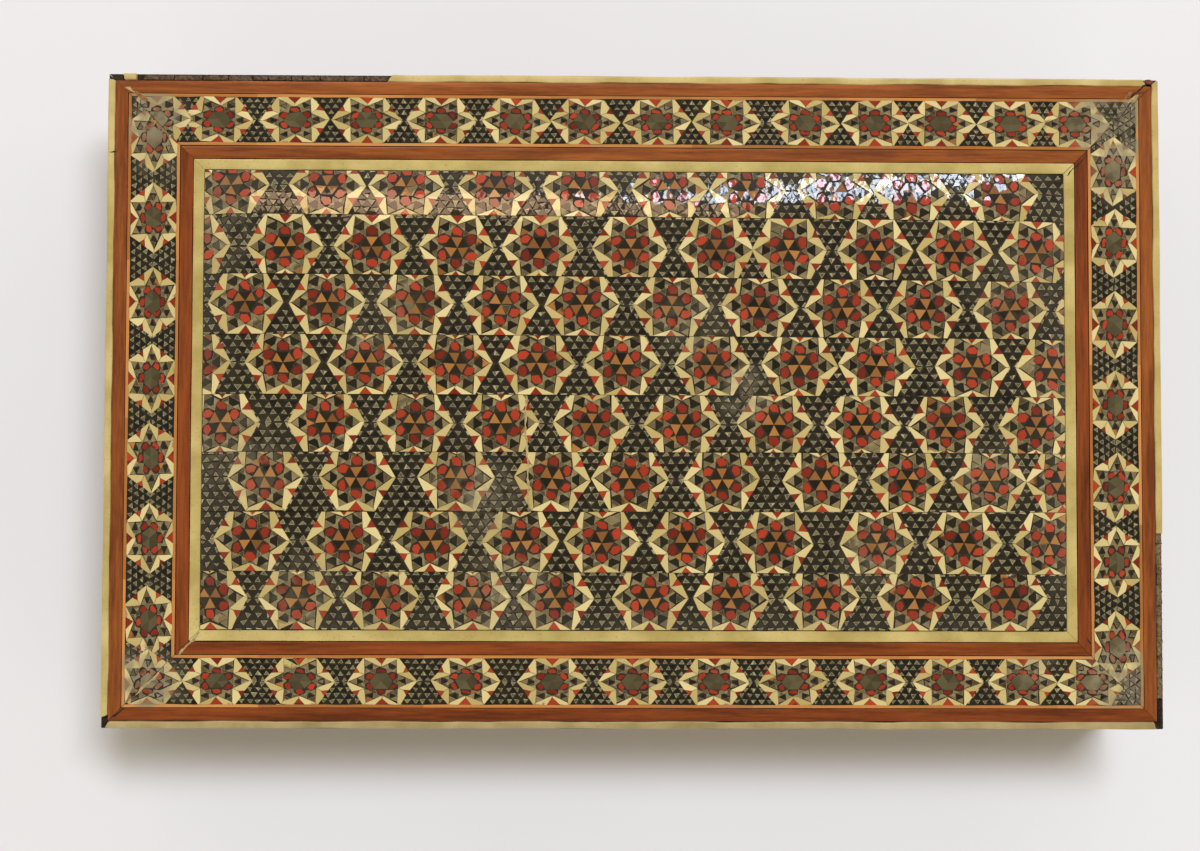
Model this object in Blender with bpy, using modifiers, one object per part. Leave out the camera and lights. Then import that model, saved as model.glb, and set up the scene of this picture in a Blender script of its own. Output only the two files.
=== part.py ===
"""A khatam (star marquetry) box with a lift-off lid, modelled empty and closed.

X runs along the box, the front faces -Y and the box stands on its underside at Z = 0.
Four wooden walls and a base board make the carcass. Its outside is covered with star
marquetry between redwood bands, with bone along the foot and up the corners. The lid is
one recessed board with a step that drops inside the walls. Its top carries, from the
edge inwards, a bone edging, a redwood band, a border of star marquetry with fine orange
edge lines, a second redwood band, a second bone edging and a cushioned star panel.
"""

import math

import bmesh
import bpy
from mathutils import Matrix, Vector

MM = 0.001

# Overall box, outside sizes
BOX_LENGTH = 168.0 * MM
BOX_WIDTH = 104.0 * MM
BODY_HEIGHT = 35.0 * MM
LID_EDGE_HEIGHT = 9.5 * MM

# Carcass
WALL_THICKNESS = 5.5 * MM
BASE_THICKNESS = 4.0 * MM

# Inlay: every strip that covers the carcass or the lid is this thick
VENEER = 1.2 * MM
GLUE_LINE = 0.1 * MM

# Bands on the body's sides
BONE_FOOT_HEIGHT = 1.4 * MM
SIDE_REDWOOD_HEIGHT = 2.4 * MM

# Bands on the lid's top, from the edge inwards
BONE_EDGE_WIDTH = 1.2 * MM
OUTER_REDWOOD_WIDTH = 2.0 * MM
KHATAM_BORDER_WIDTH = 8.2 * MM
INNER_REDWOOD_WIDTH = 2.0 * MM
INNER_BONE_WIDTH = 1.7 * MM

# Cushioned panel: it starts just above the border, climbs a rounded shoulder
# and goes on rising a little to the middle
CUSHION_EDGE_RISE = 0.2 * MM
CUSHION_SHOULDER_RISE = 2.2 * MM
CUSHION_SHOULDER_WIDTH = 9.0 * MM
CUSHION_CROWN = 1.0 * MM
SHOULDER_POWER = 2.4
CUSHION_STEPS_X = 32
CUSHION_STEPS_Y = 18

# Lid board: the recess under it, and the step that drops inside the walls
LID_TOP_THICKNESS = 4.0 * MM
LID_STEP_DROP = 2.5 * MM
LID_STEP_WALL = 3.0 * MM
LID_STEP_FIT = 0.5 * MM
LID_REST_GAP = 0.3 * MM

# Worn edges of the bone
BONE_ROUND = 0.35 * MM
BONE_ROUND_SEGMENTS = 2

# Breaks in the lid's bone edging, measured along its side from the box's corners
FRONT_LEFT_CHIP = 0.8 * MM
FRONT_RIGHT_CHIP = 1.4 * MM
RIGHT_FRONT_LOSS = 31.0 * MM
BACK_RIGHT_CHIP = 2.7 * MM
BACK_LEFT_LOSS = 45.2 * MM
LEFT_BACK_CHIP = 1.0 * MM
LEFT_FRONT_CHIP = 1.7 * MM
STUB_FROM_LEFT = 2.4 * MM
STUB_LENGTH = 2.1 * MM

# Levels worked out from the sizes above
LID_UNDERSIDE = BODY_HEIGHT + LID_REST_GAP
LID_TOP = LID_UNDERSIDE + LID_EDGE_HEIGHT
INLAY_BED = LID_TOP - VENEER
CARCASS_INSET = VENEER + GLUE_LINE
INNER_INSET = CARCASS_INSET + WALL_THICKNESS

# Insets of the lid's bands, each from the box's outline to the band's outer side
OUTER_REDWOOD_INSET = BONE_EDGE_WIDTH + GLUE_LINE
KHATAM_BORDER_INSET = OUTER_REDWOOD_INSET + OUTER_REDWOOD_WIDTH + GLUE_LINE
INNER_REDWOOD_INSET = KHATAM_BORDER_INSET + KHATAM_BORDER_WIDTH + GLUE_LINE
INNER_BONE_INSET = INNER_REDWOOD_INSET + INNER_REDWOOD_WIDTH + GLUE_LINE
CUSHION_INSET = INNER_BONE_INSET + INNER_BONE_WIDTH + GLUE_LINE

# Each side: how far it is turned from the front, its length, and its distance from the middle.
# A strip is modelled as on the front, so it starts at its left end seen from outside.
SIDES = {
    "front": (0.0, BOX_LENGTH, BOX_WIDTH / 2),
    "right": (90.0, BOX_WIDTH, BOX_LENGTH / 2),
    "back": (180.0, BOX_LENGTH, BOX_WIDTH / 2),
    "left": (270.0, BOX_WIDTH, BOX_LENGTH / 2),
}


def clear_scene():
    for obj in list(bpy.data.objects):
        bpy.data.objects.remove(obj, do_unlink=True)


def new_collection(name, hidden=False):
    collection = bpy.data.collections.new(name)
    bpy.context.scene.collection.children.link(collection)
    collection.hide_render = hidden
    return collection


def make_material(name, colour, roughness):
    material = bpy.data.materials.new(name)
    material.use_nodes = True
    shader = material.node_tree.nodes["Principled BSDF"]
    shader.inputs["Base Color"].default_value = (*colour, 1.0)
    shader.inputs["Roughness"].default_value = roughness
    shader.inputs["Metallic"].default_value = 0.0
    material.diffuse_color = (*colour, 1.0)
    return material


def add_object(name, mesh, collection, material, location=(0.0, 0.0, 0.0), turn=0.0):
    obj = bpy.data.objects.new(name, mesh)
    obj.location = location
    obj.rotation_euler[2] = turn
    collection.objects.link(obj)
    if material is not None:
        mesh.materials.append(material)
    return obj


def block_mesh(name, size):
    shape = bmesh.new()
    bmesh.ops.create_cube(shape, size=1.0)
    bmesh.ops.scale(shape, vec=size, verts=shape.verts)
    mesh = bpy.data.meshes.new(name)
    shape.to_mesh(mesh)
    shape.free()
    return mesh


def add_block(name, size, centre, collection, material=None):
    return add_object(name, block_mesh(name, size), collection, material, centre)


def round_edges(obj):
    bevel = obj.modifiers.new("worn edges", "BEVEL")
    bevel.width = BONE_ROUND
    bevel.segments = BONE_ROUND_SEGMENTS
    bevel.limit_method = "ANGLE"
    obj.data.shade_smooth()
    obj.data.set_sharp_from_angle(angle=math.radians(40))


def add_strip(name, side, inset, width, bottom, height, material, start=0.0, finish=0.0):
    """A strip along one side with mitred ends.

    Its outer face lies inset from the outline. A start or finish is the distance from
    the box's corner at which the strip is broken off square.
    """
    turn, length, reach = SIDES[side]
    shape = bmesh.new()
    bmesh.ops.create_cube(shape, size=1.0)
    mitre_gap = GLUE_LINE / math.sqrt(2)
    for vert in shape.verts:
        outer = vert.co.y < 0
        half = length / 2 - inset - mitre_gap - (0.0 if outer else width)
        broken = start if vert.co.x < 0 else finish
        half = min(half, length / 2 - broken)
        vert.co.x = math.copysign(1.0, vert.co.x) * half
        vert.co.y = math.copysign(width / 2, vert.co.y)
        vert.co.z = math.copysign(height / 2, vert.co.z)
    mesh = bpy.data.meshes.new(name)
    shape.to_mesh(mesh)
    shape.free()
    angle = math.radians(turn)
    middle = Vector((0.0, inset + width / 2 - reach, bottom + height / 2))
    place = Matrix.Rotation(angle, 3, "Z") @ middle
    return add_object(name, mesh, parts, material, place, angle)


def boolean(obj, tool, operation):
    modifier = obj.modifiers.new(f"{operation} {tool.name}", "BOOLEAN")
    modifier.operation = operation
    modifier.object = tool


def shoulder(distance):
    """Share of the shoulder's rise at this distance from the edge: 1 - (1 - d / width) ** power."""
    left = 1.0 - min(distance / CUSHION_SHOULDER_WIDTH, 1.0)
    return 1.0 - left**SHOULDER_POWER


def cushion_height(x, y, half_x, half_y):
    """Height above the border: the edge, both shoulders multiplied, and a shallow crown."""
    shoulders = shoulder(half_x - abs(x)) * shoulder(half_y - abs(y))
    crown = (1.0 - (x / half_x) ** 2) * (1.0 - (y / half_y) ** 2)
    return CUSHION_EDGE_RISE + CUSHION_SHOULDER_RISE * shoulders + CUSHION_CROWN * crown


def eased(share):
    """Spreads even steps from -1 to 1 so that they are closer together near both ends."""
    return math.sin(share * math.pi / 2)


def build_walls(wood):
    outer_x = BOX_LENGTH - 2 * CARCASS_INSET
    outer_y = BOX_WIDTH - 2 * CARCASS_INSET
    inner_x = outer_x - 2 * WALL_THICKNESS
    inner_y = outer_y - 2 * WALL_THICKNESS
    middle_z = BODY_HEIGHT / 2
    long_size = (outer_x, WALL_THICKNESS, BODY_HEIGHT)
    end_size = (WALL_THICKNESS, inner_y - 2 * GLUE_LINE, BODY_HEIGHT)
    for name, sign in (("wall_front", -1), ("wall_back", 1)):
        add_block(name, long_size, (0, sign * (inner_y + WALL_THICKNESS) / 2, middle_z), parts, wood)
    for name, sign in (("wall_left", -1), ("wall_right", 1)):
        add_block(name, end_size, (sign * (inner_x + WALL_THICKNESS) / 2, 0, middle_z), parts, wood)
    base_size = (inner_x - 2 * GLUE_LINE, inner_y - 2 * GLUE_LINE, BASE_THICKNESS)
    add_block("base_board", base_size, (0, 0, BASE_THICKNESS / 2), parts, wood)


def build_body_inlay(side, bone, redwood, khatam):
    """From the floor up: bone, redwood, star marquetry and redwood, between two corner posts."""
    corner = VENEER + GLUE_LINE
    lower = BONE_FOOT_HEIGHT + GLUE_LINE
    panel = lower + SIDE_REDWOOD_HEIGHT + GLUE_LINE
    upper = BODY_HEIGHT - SIDE_REDWOOD_HEIGHT
    rows = (
        ("bone_foot", 0.0, BONE_FOOT_HEIGHT, bone),
        ("redwood_lower", lower, SIDE_REDWOOD_HEIGHT, redwood),
        ("khatam_side", panel, upper - GLUE_LINE - panel, khatam),
        ("redwood_upper", upper, SIDE_REDWOOD_HEIGHT, redwood),
    )
    for name, bottom, height, material in rows:
        add_strip(f"{name}_{side}", side, 0.0, VENEER, bottom, height, material, corner, corner)


def build_corner_posts(bone):
    for end, sign_y in (("front", -1), ("back", 1)):
        for hand, sign_x in (("left", -1), ("right", 1)):
            centre = (
                sign_x * (BOX_LENGTH - VENEER) / 2,
                sign_y * (BOX_WIDTH - VENEER) / 2,
                BODY_HEIGHT / 2,
            )
            size = (VENEER, VENEER, BODY_HEIGHT)
            post = add_block(f"bone_post_{end}_{hand}", size, centre, parts, bone)
            round_edges(post)


def build_lid_board(wood):
    board_bottom = LID_UNDERSIDE
    board_top = INLAY_BED - GLUE_LINE
    outer_x = BOX_LENGTH - 2 * CARCASS_INSET
    outer_y = BOX_WIDTH - 2 * CARCASS_INSET
    board = add_block(
        "lid_board",
        (outer_x, outer_y, board_top - board_bottom),
        (0, 0, (board_bottom + board_top) / 2),
        parts,
        wood,
    )
    step_x = BOX_LENGTH - 2 * (INNER_INSET + LID_STEP_FIT)
    step_y = BOX_WIDTH - 2 * (INNER_INSET + LID_STEP_FIT)
    step_bottom = board_bottom - LID_STEP_DROP
    recess_top = board_top - LID_TOP_THICKNESS
    step_top = (board_bottom + recess_top) / 2
    step = add_block(
        "lid step", (step_x, step_y, step_top - step_bottom), (0, 0, (step_bottom + step_top) / 2), tools
    )
    recess_bottom = step_bottom - LID_STEP_DROP
    recess = add_block(
        "lid recess",
        (step_x - 2 * LID_STEP_WALL, step_y - 2 * LID_STEP_WALL, recess_top - recess_bottom),
        (0, 0, (recess_bottom + recess_top) / 2),
        tools,
    )
    boolean(board, step, "UNION")
    boolean(board, recess, "DIFFERENCE")


def build_lid_bands(side, bone, redwood, khatam):
    lid_side_height = INLAY_BED - GLUE_LINE - LID_UNDERSIDE
    add_strip(f"khatam_lid_{side}", side, 0.0, VENEER, LID_UNDERSIDE, lid_side_height, khatam)
    bands = (
        ("redwood_outer", OUTER_REDWOOD_INSET, OUTER_REDWOOD_WIDTH, redwood),
        ("khatam_border", KHATAM_BORDER_INSET, KHATAM_BORDER_WIDTH, khatam),
        ("redwood_inner", INNER_REDWOOD_INSET, INNER_REDWOOD_WIDTH, redwood),
        ("bone_inner", INNER_BONE_INSET, INNER_BONE_WIDTH, bone),
    )
    for name, inset, width, material in bands:
        add_strip(f"{name}_{side}", side, inset, width, INLAY_BED, VENEER, material)


def build_bone_edging(bone):
    """The bone along the lid's edge, broken as it is: a stub is left of the back's lost stretch."""
    breaks = {
        "front": (FRONT_LEFT_CHIP, FRONT_RIGHT_CHIP),
        "right": (RIGHT_FRONT_LOSS, 0.0),
        "back": (BACK_RIGHT_CHIP, BACK_LEFT_LOSS),
        "left": (LEFT_BACK_CHIP, LEFT_FRONT_CHIP),
    }
    for side, (start, finish) in breaks.items():
        edge = add_strip(
            f"bone_edge_{side}", side, 0.0, BONE_EDGE_WIDTH, INLAY_BED, VENEER, bone, start, finish
        )
        round_edges(edge)
    stub_start = BOX_LENGTH - STUB_FROM_LEFT - STUB_LENGTH
    stub = add_strip(
        "bone_edge_back_stub",
        "back",
        0.0,
        BONE_EDGE_WIDTH,
        INLAY_BED,
        VENEER,
        bone,
        stub_start,
        STUB_FROM_LEFT,
    )
    round_edges(stub)


def build_cushion(khatam):
    """A grid over the panel lifted to the cushion's height, closed by straight sides and a flat bed."""
    half_x = BOX_LENGTH / 2 - CUSHION_INSET
    half_y = BOX_WIDTH / 2 - CUSHION_INSET
    shape = bmesh.new()
    bmesh.ops.create_grid(shape, x_segments=CUSHION_STEPS_X, y_segments=CUSHION_STEPS_Y, size=1.0)
    for vert in shape.verts:
        x = half_x * eased(vert.co.x)
        y = half_y * eased(vert.co.y)
        vert.co = (x, y, VENEER + cushion_height(x, y, half_x, half_y))
    rim = [edge for edge in shape.edges if edge.is_boundary]
    wall = bmesh.ops.extrude_edge_only(shape, edges=rim)["geom"]
    for vert in (item for item in wall if isinstance(item, bmesh.types.BMVert)):
        vert.co.z = 0.0
    bottom = [item for item in wall if isinstance(item, bmesh.types.BMEdge)]
    bmesh.ops.holes_fill(shape, edges=bottom, sides=0)
    bmesh.ops.recalc_face_normals(shape, faces=shape.faces)
    mesh = bpy.data.meshes.new("cushion_panel")
    shape.to_mesh(mesh)
    shape.free()
    cushion = add_object("cushion_panel", mesh, parts, khatam, (0.0, 0.0, INLAY_BED))
    cushion.data.shade_smooth()
    cushion.data.set_sharp_from_angle(angle=math.radians(40))


def hide_tools():
    for tool in tools.objects:
        tool.hide_render = True
        tool.display_type = "WIRE"


clear_scene()
parts = new_collection("khatam box")
tools = new_collection("cutters", hidden=True)

softwood = make_material("softwood", (0.46, 0.30, 0.16), 0.7)
camel_bone = make_material("camel bone", (0.66, 0.56, 0.27), 0.35)
redwood_veneer = make_material("redwood veneer", (0.27, 0.06, 0.02), 0.3)
khatam_veneer = make_material("star marquetry", (0.17, 0.11, 0.07), 0.25)

build_walls(softwood)
build_corner_posts(camel_bone)
build_lid_board(softwood)
for side_name in SIDES:
    build_body_inlay(side_name, camel_bone, redwood_veneer, khatam_veneer)
    build_lid_bands(side_name, camel_bone, redwood_veneer, khatam_veneer)
build_bone_edging(camel_bone)
build_cushion(khatam_veneer)
hide_tools()
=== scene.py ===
"""The looks of a khatam box: star marquetry, bone edging and redwood bands under old varnish.

Lengths are in millimetres and become metres where a mesh is made. X runs along the box,
the front faces -Y and the box stands on Z = 0, as in the fixed frame. Star marquetry is
laid as real rods: each strip's stars and the dark lattice between them are triangulated
together, so that every rod is its own patch of faces with its own material.
"""

import math

import bpy
import numpy as np
from mathutils import Matrix, Vector
from mathutils.geometry import delaunay_2d_cdt


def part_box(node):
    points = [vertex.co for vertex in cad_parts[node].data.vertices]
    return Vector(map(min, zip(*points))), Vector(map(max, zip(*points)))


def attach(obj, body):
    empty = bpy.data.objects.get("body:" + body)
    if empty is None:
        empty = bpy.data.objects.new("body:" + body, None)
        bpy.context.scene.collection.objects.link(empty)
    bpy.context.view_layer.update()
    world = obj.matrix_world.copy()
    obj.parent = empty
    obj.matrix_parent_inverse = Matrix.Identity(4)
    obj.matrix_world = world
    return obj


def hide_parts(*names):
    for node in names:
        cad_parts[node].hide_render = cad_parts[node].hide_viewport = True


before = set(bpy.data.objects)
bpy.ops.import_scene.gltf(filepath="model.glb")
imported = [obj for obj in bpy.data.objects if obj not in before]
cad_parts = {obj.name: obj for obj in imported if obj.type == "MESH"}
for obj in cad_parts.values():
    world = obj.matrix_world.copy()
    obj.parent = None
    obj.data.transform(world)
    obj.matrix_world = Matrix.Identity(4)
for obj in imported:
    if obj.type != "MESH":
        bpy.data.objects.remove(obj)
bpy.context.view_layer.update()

MM = 0.001

# Camera, placed where the photograph was taken from
PHOTO_WIDTH = 1200
PHOTO_HEIGHT = 851
PHOTO_FOCAL_PIXELS = 2655.0
SENSOR_WIDTH = 36.0
CAMERA_PLACE = (-14.3, -28.2, 464.8)
CAMERA_TILTS = (3.29, -1.19, 0.20)

# Cushioned panel: the fixed frame's formula, so that the rods follow its surface
CUSHION_EDGE_RISE = 0.2
CUSHION_SHOULDER_RISE = 2.2
CUSHION_SHOULDER_WIDTH = 9.0
CUSHION_CROWN = 1.0
SHOULDER_POWER = 2.4

# Star marquetry: a star's unit is a quarter of the reach of its points
PANEL_UNIT = 1.52
PANEL_HALF_ROW = 4.6
BORDER_UNIT = 1.4
# Border stars are lower than they are long, as rods sawn at a slant
BORDER_SQUASH = 0.76
FINE_LINE_WIDTH = 0.45
ROD_RIM = 0.09
STRIP_SEAM = 0.07
# On the sides: from one star to the next, in units, and what the bone corner posts cover
SIDE_STAR_PITCH = 9.1
POST_COVER = 1.3
SIDE_VENEER = 1.2

# How unevenly the rods were cut and laid: the wander of their corners in units, the turn of
# the stars in degrees, and the size of the metal rods and of the lattice's grey ones
ROD_WOBBLE = 0.055
STAR_TURN_SPREAD = 1.6
METAL_ROD_SHARE = 0.86
PANEL_GREY_SHARE = 0.62
BORDER_GREY_SHARE = 0.64
SIDE_GREY_SHARE = 0.66
# How often a star's core has its two woods the other way round, and a rod is of the wrong kind
SWAPPED_CORES = 0.45
ORANGE_FOR_METAL = 0.045
METAL_FOR_BLACK = 0.04
# Each rod's face leans a little off the surface, so that they catch the light one by one, in degrees
PANEL_LEAN = 1.2
BORDER_LEAN = 0.9
SIDE_LEAN = 0.8

# Panel strips from the back to the front: how far their seams are behind the panel's middle, at
# its left and right end
PANEL_SEAMS = (
    (36.4, 36.4),
    (29.2, 28.5),
    (19.7, 18.8),
    (10.1, 9.7),
    (0.6, 0.5),
    (-8.5, -8.4),
    (-17.9, -17.7),
    (-27.2, -27.5),
    (-36.4, -36.4),
)
# Stars of each panel strip, read off the photograph in its pixels: the rows of the strip's left
# and right end, the height of the cushion there in millimetres, and the stars' columns
PANEL_END_COLUMNS = (205, 1070)
PANEL_STAR_PIXELS = (
    (182, 195, 46.6, (231, 327, 406, 495, 580, 669, 747, 835, 912, 1001)),
    (246, 252, 47.5, (192, 285, 372, 457, 540, 630, 716, 789, 875, 955, 1037)),
    (301, 311, 47.5, (245, 327, 415, 501, 582, 672, 759, 842, 925, 1010, 1095)),
    (361, 368, 47.5, (192, 283, 365, 455, 537, 622, 712, 799, 876, 972, 1054)),
    (421, 428, 47.5, (220, 326, 415, 501, 591, 682, 774, 862, 946, 1037)),
    (474, 481, 47.5, (265, 357, 456, 552, 630, 722, 821, 907, 990, 1065)),
    (539, 545, 47.5, (251, 344, 430, 521, 602, 687, 775, 877, 964, 1051)),
    (597, 597, 46.6, (209, 297, 381, 472, 555, 650, 731, 821, 914, 1009)),
)
# How far the middle line of each panel strip is behind the panel's middle, at its left and right end
PANEL_ROWS = (
    (34.0, 32.9),
    (24.0, 23.5),
    (15.2, 14.2),
    (5.7, 5.2),
    (-3.8, -4.2),
    (-12.4, -12.8),
    (-22.3, -22.7),
    (-31.4, -31.3),
)

# Border stars, read off the photograph in its pixels: the row of the front and back strip and the
# column of the left and right one, and the stars along it
BORDER_STAR_PIXELS = {
    "front": (682, (147, 217, 300, 381, 466, 552, 633, 714, 793, 871, 948, 1023, 1092)),
    "right": (1118, (172, 243, 325, 405, 487, 562, 647)),
    "back": (117, (157, 219, 295, 367, 441, 516, 585, 657, 727, 805, 875, 941, 1011, 1075)),
    "left": (153, (137, 218, 302, 378, 458, 538, 621, 684)),
}


def node_box(name):
    """Lowest and highest corner of a fixed node, in millimetres."""
    low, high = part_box(name)
    return np.array(low) / MM, np.array(high) / MM


HALF_LENGTH = node_box("khatam_lid_front")[1][0]
HALF_WIDTH = node_box("khatam_lid_right")[1][1]

# Each side: how far it is turned from the front, half its length, and its distance from the middle
SIDES = {
    "front": (0.0, HALF_LENGTH, HALF_WIDTH),
    "right": (90.0, HALF_WIDTH, HALF_LENGTH),
    "back": (180.0, HALF_LENGTH, HALF_WIDTH),
    "left": (270.0, HALF_WIDTH, HALF_LENGTH),
}
# The corner at which each side starts and the one at which it ends, seen from outside
CORNERS = {
    "front": ("front_left", "front_right"),
    "right": ("front_right", "back_right"),
    "back": ("back_right", "back_left"),
    "left": ("back_left", "front_left"),
}
# How far the mitres have opened, measured along the side
MITRE_OPENING = {"front_left": 0.1, "front_right": 0.08, "back_right": 0.12, "back_left": 0.06}


def band(name):
    """A lid band's inset from the outline and its width, read from its front strip."""
    low, high = node_box(f"{name}_front")
    return low[1] + HALF_WIDTH, high[1] - low[1]


INLAY_BED = node_box("redwood_outer_front")[0][2]
LID_TOP = node_box("redwood_outer_front")[1][2]
PANEL_HALF_X = node_box("cushion_panel")[1][0]
PANEL_HALF_Y = node_box("cushion_panel")[1][1]


def camera_turn():
    """The camera's turn about its own X, Y and Z, one after the other."""
    turn = Matrix.Identity(3)
    for degrees, axis in zip(CAMERA_TILTS, "XYZ"):
        turn = turn @ Matrix.Rotation(math.radians(degrees), 3, axis)
    return turn


def photo_place(column, row, height):
    """X and Y, to 0.1 mm, of what the photograph shows at a pixel and the box has at this height.

    The camera's ray through the pixel is followed until it is down to that height.
    """
    across, up = column - PHOTO_WIDTH / 2, PHOTO_HEIGHT / 2 - row
    ray = np.array(camera_turn()) @ (across, up, -PHOTO_FOCAL_PIXELS)
    place = np.array(CAMERA_PLACE) + ray * (height - CAMERA_PLACE[2]) / ray[2]
    return np.round(place[:2], 1)


def panel_star_places(left_row, right_row, height, columns):
    """Where along X the stars of a panel strip are, their line slanting between its two ends."""
    return [
        photo_place(column, np.interp(column, PANEL_END_COLUMNS, (left_row, right_row)), height)[0]
        for column in columns
    ]


def border_star_places(side):
    """Where the stars of a border strip are: along X on the front and back, along Y on the others."""
    line, stars = BORDER_STAR_PIXELS[side]
    if side in ("front", "back"):
        return [photo_place(column, line, LID_TOP)[0] for column in stars]
    return [photo_place(line, row, LID_TOP)[1] for row in stars]


def to_world(side, along, inset, height):
    """Turns places along a side, inset from the outline and height into world points."""
    turn, _, reach = SIDES[side]
    along, inset, height = np.broadcast_arrays(along, inset, height)
    cos, sin = math.cos(math.radians(turn)), math.sin(math.radians(turn))
    outward = inset - reach
    return np.stack((along * cos - outward * sin, along * sin + outward * cos, height), axis=-1)


def smooth_step(values, low, high):
    """0 below low, 1 above high and 3 t^2 - 2 t^3 between."""
    share = np.clip((values - low) / (high - low), 0.0, 1.0)
    return share * share * (3.0 - 2.0 * share)


def wander(along, seed, length):
    """A slow wobble within about -1 and 1: four sines, each shorter and weaker than the last."""
    rng = np.random.default_rng(seed)
    total = np.zeros_like(along)
    for octave in range(4):
        phase = rng.random() * math.tau
        total += 0.6**octave * np.sin(math.tau * along * 1.9**octave / length + phase)
    return total / 1.6


# Materials


def linear(hex_colour):
    """An sRGB hex colour as linear red, green, blue and alpha."""
    channels = [int(hex_colour[i : i + 2], 16) / 255 for i in (1, 3, 5)]
    turned = [c / 12.92 if c <= 0.04045 else ((c + 0.055) / 1.055) ** 2.4 for c in channels]
    return (*turned, 1.0)


def add_node(tree, kind, inputs=None, **settings):
    """Adds a node. Settings are its own properties; inputs are values, or sockets to link."""
    node = tree.nodes.new(kind)
    for name, value in settings.items():
        setattr(node, name, value)
    for name, value in (inputs or {}).items():
        if isinstance(value, bpy.types.NodeSocket):
            tree.links.new(value, node.inputs[name])
        else:
            node.inputs[name].default_value = value
    return node


def cells(size):
    """The scale at which a pattern's cells are this many millimetres across."""
    return 1.0 / (size * MM)


def new_material(name, values):
    """A material with its Principled shader; a value that is even all over goes on its own socket."""
    material = bpy.data.materials.new(name)
    material.use_nodes = True
    tree = material.node_tree
    shader = tree.nodes["Principled BSDF"]
    for socket, value in values.items():
        shader.inputs[socket].default_value = value
    return material, tree, shader


def add_varnish(tree, shader, depth):
    """Old brushed varnish: soft undulations 4 mm apart, crazed into cells just under 1 mm wide.

    The depth is in millimetres. Real crazing is finer still and wouldn't show.
    """
    place = add_node(tree, "ShaderNodeTexCoord").outputs["Object"]
    swell = add_node(tree, "ShaderNodeTexNoise", {"Vector": place, "Scale": cells(3.85), "Detail": 2.0})
    crazing = add_node(tree, "ShaderNodeTexVoronoi", {"Vector": place, "Scale": cells(0.91)})
    both = add_node(
        tree,
        "ShaderNodeMath",
        {0: crazing.outputs["Distance"], 1: 0.3, 2: swell.outputs[0]},
        operation="MULTIPLY_ADD",
    )
    bump = add_node(
        tree, "ShaderNodeBump", {"Strength": 1.0, "Distance": depth * MM, "Height": both.outputs[0]}
    )
    tree.links.new(bump.outputs[0], shader.inputs["Coat Normal"])
    tree.links.new(bump.outputs[0], shader.inputs["Normal"])


# Old spirit varnish mirrors sharply over a body that is dull itself
VARNISH = {"Coat Weight": 1.0, "Coat Roughness": 0.07, "Coat IOR": 1.45}
ROD_BODY = {"Roughness": 0.7, "Specular IOR Level": 0.15}


def make_rod_material(name, pale, deep, rim, haze, speckle=0.25, rim_end=0.75):
    """A rod of the marquetry.

    Each rod has its own tone between the deep and the pale colour, speckle 0.36 mm wide as of
    pores and file marks, and a rim if it is given one, fading out at this share of the way to
    the rod's heart. Haze is the dull film over rubbed and filled places.
    """
    material, tree, shader = new_material(name, {**VARNISH, **ROD_BODY})
    place = add_node(tree, "ShaderNodeTexCoord").outputs["Object"]
    tone = add_node(tree, "ShaderNodeAttribute", attribute_name="tone").outputs["Fac"]
    film = add_node(tree, "ShaderNodeAttribute", attribute_name="haze").outputs["Fac"]
    grain = add_node(
        tree,
        "ShaderNodeTexNoise",
        {"Vector": place, "Scale": cells(0.36), "Detail": 3.0, "Roughness": 0.65},
    )
    shade = add_node(
        tree,
        "ShaderNodeMath",
        {0: grain.outputs[0], 1: speckle, 2: tone},
        operation="MULTIPLY_ADD",
    )
    lifted = add_node(
        tree, "ShaderNodeMath", {0: shade.outputs[0], 1: speckle / 2}, operation="SUBTRACT", use_clamp=True
    )
    body = add_node(
        tree,
        "ShaderNodeMix",
        {0: lifted.outputs[0], 6: linear(deep), 7: linear(pale)},
        data_type="RGBA",
    )
    if rim:
        heart = add_node(tree, "ShaderNodeAttribute", attribute_name="heart").outputs["Fac"]
        inner = add_node(
            tree,
            "ShaderNodeMapRange",
            {"Value": heart, "From Min": 0.05, "From Max": rim_end},
            interpolation_type="SMOOTHSTEP",
        )
        body = add_node(
            tree,
            "ShaderNodeMix",
            {0: inner.outputs[0], 6: linear(rim), 7: body.outputs[2]},
            data_type="RGBA",
        )
    cloud = add_node(tree, "ShaderNodeTexNoise", {"Vector": place, "Scale": cells(2.4), "Detail": 4.0})
    patchy = add_node(
        tree,
        "ShaderNodeMapRange",
        {"Value": cloud.outputs[0], "From Min": 0.3, "From Max": 0.65},
        interpolation_type="SMOOTHSTEP",
    )
    dull = add_node(
        tree, "ShaderNodeMath", {0: patchy.outputs[0], 1: film}, operation="MULTIPLY", use_clamp=True
    )
    finished = add_node(
        tree,
        "ShaderNodeMix",
        {0: dull.outputs[0], 6: body.outputs[2], 7: linear(haze)},
        data_type="RGBA",
    )
    tree.links.new(finished.outputs[2], shader.inputs["Base Color"])
    add_varnish(tree, shader, 0.065)
    return material


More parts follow.
